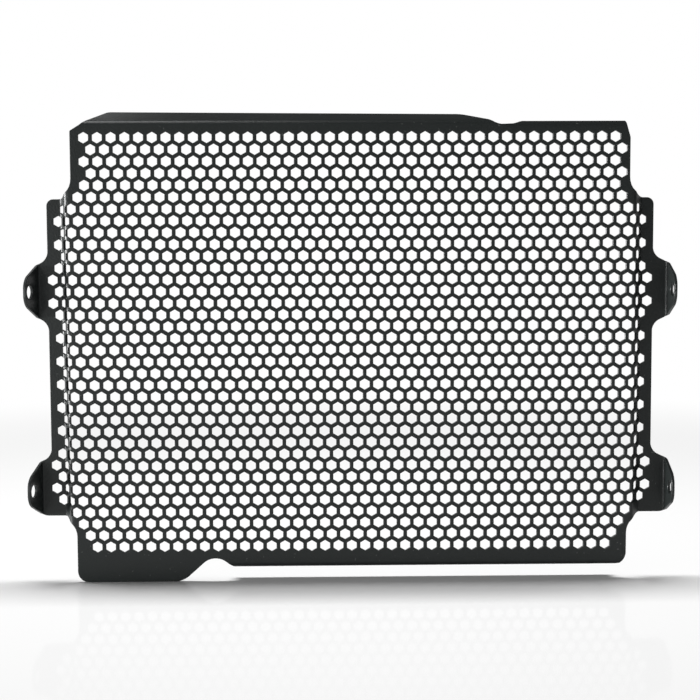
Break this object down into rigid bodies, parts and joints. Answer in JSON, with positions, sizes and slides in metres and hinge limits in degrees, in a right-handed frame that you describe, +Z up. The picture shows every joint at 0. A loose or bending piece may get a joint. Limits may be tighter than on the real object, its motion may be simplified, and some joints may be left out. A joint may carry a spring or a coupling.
{
  "type": "motorcycle radiator guard",
  "caption": "Folded sheet-metal guard with a hexagon-perforated panel, stepped side wings and forward-bent fixing ears, bolted in front of a motorcycle radiator.",
  "frame": {"origin": "middle of the guard's bounding box", "axes": "+Z up, -Y the front that faces the oncoming air, +X to the right as seen from the front"},
  "size_m": [0.3242, 0.0224, 0.2378],
  "materials": {
    "black_coat": "satin"
  },
  "bodies": {
    "root": {"radiator_guard": "black_coat"}
  },
  "joints": []
}
